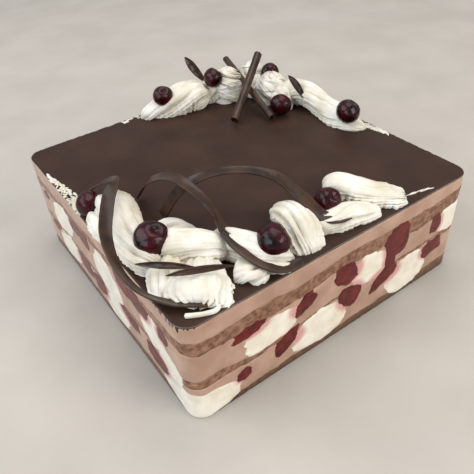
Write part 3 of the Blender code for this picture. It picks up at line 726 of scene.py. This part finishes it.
def stroke(style, stops, rings=80):
    """One pull of the bag through the stops, which give place, height and size in mm."""
    folds, deep, fine, frill, twist, flat, first_round, last_round = STYLES[style]
    made, along, across = grid(rings, 5 * FINE_RIDGES)
    line = flow(stops, rings + 1)
    ring = np.rint(along * rings).astype(int)
    share = ring / rings
    centre, size = line[ring, :3], line[ring, 3]
    ahead, beside, over = directions(line)
    start = np.sqrt(np.clip(1 - (1 - np.clip(share / first_round, 0, 1)) ** 2, 0, 1))
    tail = np.sqrt(np.clip(1 - (1 - np.clip((1 - share) / last_round, 0, 1)) ** 2, 0, 1))
    pattern = stops[0][0] + stops[0][1]
    turn = 2 * math.pi * across
    tube = np.stack([np.cos(turn), np.sin(turn), share * 2], axis=1) * MM
    sway = ripple(tube, 0.9, pattern)
    wound = turn + 2 * math.pi * twist * share
    pressed = (flat * share**1.3)[:, None]
    outward = beside[ring] * np.cos(wound)[:, None] + over[ring] * np.sin(wound)[:, None] * (1 - pressed)
    low = np.clip((0.5 - outward[:, 2]) / 0.6, 0, 1)
    ends = np.exp(-share / 0.05) + np.exp(-(1 - share) / 0.1)
    fold = 1 - np.abs(np.sin(folds * turn / 2 + 0.5 * sway)) ** 0.8
    some = np.clip(0.6 + 0.8 * ripple(tube, 0.45, pattern + 1), 0.05, 1.4)
    thin = 1 - np.abs(np.sin(FINE_RIDGES * turn / 2 + 2 * sway)) ** 0.7
    ragged = np.clip(0.7 + 0.6 * ripple(tube, 0.2, pattern + 4), 0.1, 1.4)
    torn = frill * np.clip(low + ends, 0, 1) * ragged
    scale = np.clip(size / 11, 0.1, 1.2)
    broad = 0.09 * size * (ripple(tube, 1.1, pattern + 2) + 0.5 * ripple(tube, 0.5, pattern + 3))
    hem = 0.6 * frill * scale * low * ripple(centre * MM, 2.0, pattern + 6)
    reach = (size + broad + hem - scale * (deep * some * fold + (fine + torn) * thin)) * start * tail
    slip = (0.5 - thin) * np.exp(-(1 - share) / 0.06) * SLIP * frill * scale
    slip *= np.clip(0.6 + 1.1 * ripple(tube, 0.45, pattern + 7), 0.05, 1.7)
    places = from_corner(centre + outward * reach[:, None] + ahead[ring] * slip[:, None])
    places += outward * (0.12 * ripple(places, 3.2, 3) * np.clip(reach / 6, 0, 1))[:, None] * MM
    places[:, 2] = np.maximum(places[:, 2], (HEIGHT - SUNK) * MM)
    put_points(made, places)
    return close_up(made)


def piping(name, strokes, node):
    """Strokes joined into one piece of piped cream."""
    return finish_piece(join([stroke(*each) for each in strokes]), name, CREAM, "cream", node, angle=75)


piping("cream_left", LEFT_STROKES, "piping_left")
piping("cream_right", RIGHT_STROKES, "piping_right")
piping("cream_back", BACK_STROKES, "piping_back")

# %% [markdown]
# ## Cherries
# A cherry from syrup is dark, wet and not quite round. It has a dimple where its stalk was, and its skin
# is a little dented. A sphere primitive is pressed in at its pole and dented by noise, and each copy is
# turned.

# %% Cherries
CHERRY, *_, shader = finish(
    "cherry", (16, 1, 4), (56, 4, 11), 110, 220, 0.28, 0.9,
    Specular_IOR_Level=0.15, Coat_Weight=0.18, Coat_Roughness=0.08)
soft_under(shader, 1.5, 0.1)
CHERRIES = {
    "cherry_near_left": (19.6, 61.6, 14.6, 11.6, 20, 25),
    "cherry_near_right": (75, 17, 13, 10.8, 70, 60),
    "cherry_right": (128, 28, 11, 9, 10, 40),
    "cherry_left_edge": (7.4, 129.4, 8.6, 9, 40, 75),
    "cherry_back_left": (121, 226, 17, 9, 0, 30),
    "cherry_back": (168, 217, 23, 8.8, 80, 35),
    "cherry_back_high": (221, 203, 17, 9, 30, 60),
    "cherry_back_low": (196, 157, 10, 9.3, 120, 50),
    "cherry_back_right": (222, 104, 14, 10, 60, 20),
}
DIMPLE, DIMPLE_WIDTH = 0.24, 0.3
NOT_ROUND = (1.0, 0.96, 0.93)
for step, (node, (along, across, height, radius, spin, lean)) in enumerate(CHERRIES.items()):
    bpy.ops.object.select_all(action="DESELECT")
    bpy.ops.mesh.primitive_uv_sphere_add(segments=56, ring_count=36, radius=radius * MM)
    made = bpy.context.object
    skin = points_of(made)
    away = np.linalg.norm(skin[:, :2], axis=1) / (radius * MM)
    top = skin[:, 2] > 0
    skin[:, 2] -= np.where(top, DIMPLE * np.exp(-((away / DIMPLE_WIDTH) ** 2)) * radius * MM, 0)
    skin *= np.array(NOT_ROUND)
    skin *= (1 + 0.05 * ripple(skin, 8, step) + 0.012 * ripple(skin, 2.5, step))[:, None]
    turned = Matrix.Rotation(math.radians(spin), 4, "Z") @ Matrix.Rotation(math.radians(lean), 4, "X")
    put_points(made, skin)
    made.data.transform(Matrix.Translation(on_top(along, across, height)) @ turned)
    finish_piece(made, node + "_fruit", CHERRY, "cherry", node, angle=80)

# %% [markdown]
# ## Chocolate bands
# The bands were spread on film, cut and bent while soft, so they are thin, slightly cupped, and streaked
# along their length. A narrow grid follows a smooth line and leans as its table says, Solidify gives it
# its thickness, and Bevel softens its cut edges.

# %% Chocolate finish
CHOCOLATE = finish(
    "chocolate", (33, 20, 12), (64, 42, 28), 70, 700, 0.36, 0.12,
    Specular_IOR_Level=0.25, Coat_Weight=0.12, Coat_Roughness=0.1)[0]
print("chocolate ready")

# %% Bands
BANDS = {
    "band_left": [(15, 151, 3, 0), (19, 135, 16, -5), (22, 113, 29, -5), (11, 98, 27, 15),
                  (-3, 74, 22, 32), (-8, 53, 15, 45), (-5, 34, 8, 40), (6, 20, 3.5, 25),
                  (22, 7.5, 2.5, 0)],
    "band_middle": [(42, 124, 3, -30), (44, 106, 23, -20), (50, 82, 34, -5), (55, 55, 28, 20),
                    (57, 45, 17, 30), (54, 31, 15, 25), (55, 18, 12.5, 20), (60, 8, 8, 15),
                    (69, 2, 4.5, 0), (83, 0.5, 3.5, 0)],
    "band_right": [(42, 92, 3, -40), (52, 84, 22, -30), (66, 74, 33, -10), (84, 61, 36, 0),
                   (102, 48, 30, -15), (111, 33, 18, -25), (115, 20, 10.5, -20), (122, 12.5, 7.5, 0),
                   (139, 12.5, 5.5, 0)],
}
BAND_WIDTH = 8.2
BAND_THICK = 1.0


def band(name, stops):
    """A thin band of chocolate along the stops, which give place, height and lean in degrees."""
    length, width = 150, 10
    made, along, across = grid(length, width)
    line = flow(stops, length + 1)
    ring = np.rint(along * length).astype(int)
    ahead, beside, over = directions(line)
    lean = np.radians(line[:, 3])[:, None]
    wide = np.cos(lean) * beside + np.sin(lean) * over
    cup = np.cross(wide, ahead)
    spread = across - 0.5
    taper = 1 - 0.3 * np.clip(along * 10 - 9, 0, 1)
    places = line[ring, :3] + wide[ring] * (spread * BAND_WIDTH * taper)[:, None]
    places = from_corner(places + cup[ring] * (0.5 * (4 * spread**2 - 0.3))[:, None])
    edge = np.abs(spread) > 0.4
    places += wide[ring] * (0.1 * MM * ripple(places, 4, 1) * edge * np.sign(spread))[:, None]
    put_points(made, places)
    apply_modifier(made, "SOLIDIFY", thickness=BAND_THICK * MM, offset=0)
    apply_modifier(made, "BEVEL", width=0.25 * MM, segments=2)
    return finish_piece(made, name + "_curl", CHOCOLATE, "chocolate", name, angle=50)


for name, stops in BANDS.items():
    band(name, stops)

# %% [markdown]
# ## Rolls and flakes
# The two rolls are thin sheets of chocolate scraped up into tubes, so their section is a spiral. The
# flakes are curved shavings, pointed at both ends.

# %% Rolls
ROLLS = {
    "roll_long": ((155, 168, 4.8), (210, 206, 36), 3.9, 2.0),
    "roll_crossed": ((181.5, 151, 4.4), (198.5, 241, 25), 3.4, 1.7),
}
ROLL_TURNS = 1.75
ROLL_THICK = 0.65
for name, (low, high, outer, inner) in ROLLS.items():
    made, along, across = grid(110, 40)
    turn = along * 2 * math.pi * ROLL_TURNS
    foot, head = on_top(*low), on_top(*high)
    length = (head - foot).length / MM
    reach = inner + (outer - 0.35 - inner) * along
    height = across * length
    ragged = (across > 0.97) * 0.9 + (across < 0.03) * 0.7
    tube = np.stack([reach * np.cos(turn), reach * np.sin(turn), height], axis=1) * MM
    tube[:, 2] += ragged * ripple(tube, 1.6, 5) * 0.6 * MM
    tube[:, :2] *= (1 + 0.03 * ripple(tube, 9, 2))[:, None]
    put_points(made, tube)
    aimed = (head - foot).to_track_quat("Z", "Y").to_matrix().to_4x4()
    made.data.transform(Matrix.Translation(foot) @ aimed)
    apply_modifier(made, "SOLIDIFY", thickness=ROLL_THICK * MM, offset=0)
    finish_piece(made, name + "_tube", CHOCOLATE, "chocolate", name, angle=50)

# %% Flakes
FLAKES = {
    "flake_front_left": ((2, 51, 12), (13.5, 37, 14.5), (26, 25.5, 14), 2.0, -60),
    "flake_front_right": ((10.5, 30.5, 13), (26.5, 20.5, 15.5), (43.5, 13, 14), 2.0, -60),
    "flake_back_left": ((169.5, 232.5, 13), (162, 240, 27), (157, 244, 37), 3.6, 60),
    "flake_back_right": ((216, 148, 10), (213, 157, 22), (210, 164, 29), 2.8, 60),
}
FLAKE_THICK = 0.8
for name, (foot, middle, tip, half, lean) in FLAKES.items():
    length = 40
    made, along, across = grid(length, 8)
    line = flow([foot, middle, tip], length + 1)
    ring = np.rint(along * length).astype(int)
    ahead, beside, over = directions(line)
    wide = math.cos(math.radians(lean)) * beside + math.sin(math.radians(lean)) * over
    cup = np.cross(wide, ahead)
    leaf = half * np.sin(math.pi * np.clip(along, 0.01, 0.99)) ** 0.7
    spread = 2 * across - 1
    places = line[ring] + wide[ring] * (spread * leaf)[:, None]
    places = from_corner(places + cup[ring] * (0.25 * leaf * spread**2)[:, None])
    places += cup[ring] * (0.35 * MM * ripple(places, 5, 3))[:, None]
    put_points(made, places)
    apply_modifier(made, "SOLIDIFY", thickness=FLAKE_THICK * MM, offset=0)
    finish_piece(made, name + "_shaving", CHOCOLATE, "chocolate", name, angle=50)

# %% [markdown]
# ## Strand
# A thread of cream fell beside the border and curls up at one end. It is a short grid rolled round its
# line.

# %% Strand
STRAND = [(7.6, 9.4, 0.9, 1.5), (12.5, 6.2, 1.0, 1.5), (17.5, 3.6, 1.1, 1.4), (22, 1.8, 1.4, 1.4),
          (25, 1.9, 2.2, 1.3), (25.8, 3.8, 2.8, 1.2)]
made = stroke("thread", STRAND, rings=40)
finish_piece(made, "cream_thread", CREAM, "cream", "cream_strand", angle=80)

# %% [markdown]
# ## Smears and specks
# The bag left torn smears along the glaze's edge. They are thin and ragged, so each is a heap of small
# flat drops. One drop is modelled, from a dented sphere, and each copy is rolled, stretched flat, turned
# and laid in its place. Draws from one seeded generator place them, so each run gives the same smears.

# %% Smears and specks
chance = random.Random(7)
bpy.ops.object.select_all(action="DESELECT")
bpy.ops.mesh.primitive_ico_sphere_add(subdivisions=2, radius=1 * MM)
drop = bpy.context.object
shape = points_of(drop)
put_points(drop, shape * (1 + 0.22 * ripple(shape, 0.9, 2))[:, None])
drops = []


def lay(along, across, long, wide, high, turn):
    """A copy of the drop on the glaze, with its sizes in mm, turned from the front's way."""
    copy = drop.copy()
    copy.data = drop.data.copy()
    bpy.context.collection.objects.link(copy)
    sizes = Matrix.Diagonal((long / 2, wide / 2, high, 1))
    rolled = Matrix.Rotation(chance.uniform(0, 6.28), 4, "X")
    turned = Matrix.Rotation(math.radians(turn), 4, "Z")
    copy.data.transform(Matrix.Translation(on_top(along, across, 0)) @ turned @ sizes @ rolled)
    drops.append(copy)


LEFT_DROPS, FRONT_DROPS, BACK_DROPS, RIGHT_DROPS = 230, 16, 26, 60
for each in range(LEFT_DROPS):
    far = chance.uniform(0, 1) ** 1.7
    reach = 10 * (1 - far) + 1.5
    lay(chance.uniform(0.9, 0.9 + reach), 134 + 66 * far, chance.uniform(1.6, 7 - 2 * far),
        chance.uniform(0.8, 3.2 - 1.6 * far), chance.uniform(0.5, 1.2 - 0.5 * far),
        chance.uniform(50, 140))
for each in range(FRONT_DROPS):
    share = chance.uniform(0, 1)
    lay(183 + 20 * share, 9 - 5 * share + chance.uniform(-0.8, 0.8), chance.uniform(2, 7),
        chance.uniform(0.5, 1.1), chance.uniform(0.3, 0.5), chance.uniform(-25, 0))
for each in range(BACK_DROPS):
    lay(chance.uniform(84, 108), chance.uniform(235.5, 238.6), chance.uniform(1.5, 5),
        chance.uniform(0.7, 1.6), chance.uniform(0.4, 0.8), chance.uniform(-25, 25))
for each in range(RIGHT_DROPS):
    near = chance.uniform(0, 1)
    lay(238.4 - chance.uniform(0, 1) * (1.5 + 4 * near), 74 + 24 * near, chance.uniform(2, 7),
        chance.uniform(0.9, 3), chance.uniform(0.4, 1.1), chance.uniform(65, 115))
bpy.data.objects.remove(drop)
smears = join(drops)
finish_piece(smears, "cream_smears", CREAM, "cream", angle=80)

# %% [markdown]
# ## Stage
# A plain pale floor, soft lights and a camera where the photograph was taken from.

# %% Floor
bpy.ops.object.select_all(action="DESELECT")
bpy.ops.mesh.primitive_plane_add(size=8, location=(0, 0, 0))
floor = bpy.context.object
floor.name = "floor"
FLOOR = finish("floor", (166, 159, 150), (174, 167, 158), 12, 160, 0.7, 0.05)[0]
floor.data.materials.append(FLOOR)
floor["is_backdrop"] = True
print("floor laid")

# %% Lights
def soft_light(name, place, size, power, colour):
    """A soft rectangular light that faces the cake."""
    bpy.ops.object.light_add(type="AREA", location=place)
    lamp = bpy.context.object
    lamp.name = name
    lamp.data.shape = "RECTANGLE"
    lamp.data.size, lamp.data.size_y = size
    lamp.data.energy = power
    lamp.data.color = colour
    lamp.rotation_euler = (Vector((0, 0, 0.05)) - Vector(place)).to_track_quat("-Z", "Y").to_euler()
    return lamp


soft_light("window", (-1.0, 0.6, 1.1), (1.2, 0.9), 13, (0.9, 0.95, 1.0))
soft_light("ceiling", (0.4, 0.2, 1.9), (1.6, 1.6), 24, (1.0, 0.97, 0.92))
soft_light("front", (0.6, -1.3, 0.8), (0.9, 0.9), 17, (1.0, 0.96, 0.91))
soft_light("left", (-1.3, -0.4, 0.6), (0.8, 0.8), 9, (0.82, 0.9, 1.0))
world = bpy.data.worlds.new("studio")
bpy.context.scene.world = world
world.use_nodes = True
world.node_tree.nodes["Background"].inputs["Color"].default_value = (0.86, 0.9, 0.97, 1)
world.node_tree.nodes["Background"].inputs["Strength"].default_value = 0.5
print("four lights and a pale world")

# %% Camera
bpy.ops.object.camera_add()
camera = bpy.context.object
camera.data.lens = 40.467
camera.data.sensor_width = 36
camera.data.clip_start = 0.01
ahead = Vector((0.4268, 0.6476, -0.6313)).normalized()
beside = ahead.cross(Vector((0, 0, 1))).normalized()
over = beside.cross(ahead)
roll = math.radians(-3.973)
right = math.cos(roll) * beside + math.sin(roll) * over
up = math.cos(roll) * over - math.sin(roll) * beside
facing = Matrix((right, up, -ahead)).transposed().to_4x4()
facing.translation = Vector((-0.1934, -0.2899, 0.2946))
camera.matrix_world = facing
bpy.context.scene.camera = camera
bpy.context.scene.view_settings.view_transform = "Standard"
print("camera at", [round(value, 3) for value in facing.translation])

# %% [markdown]
# ## The size
# The box that the dressed cake fills is printed.

# %% Size and finish
low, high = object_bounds()
print("dressed", [round(v, 4) for v in (*low, *high)])
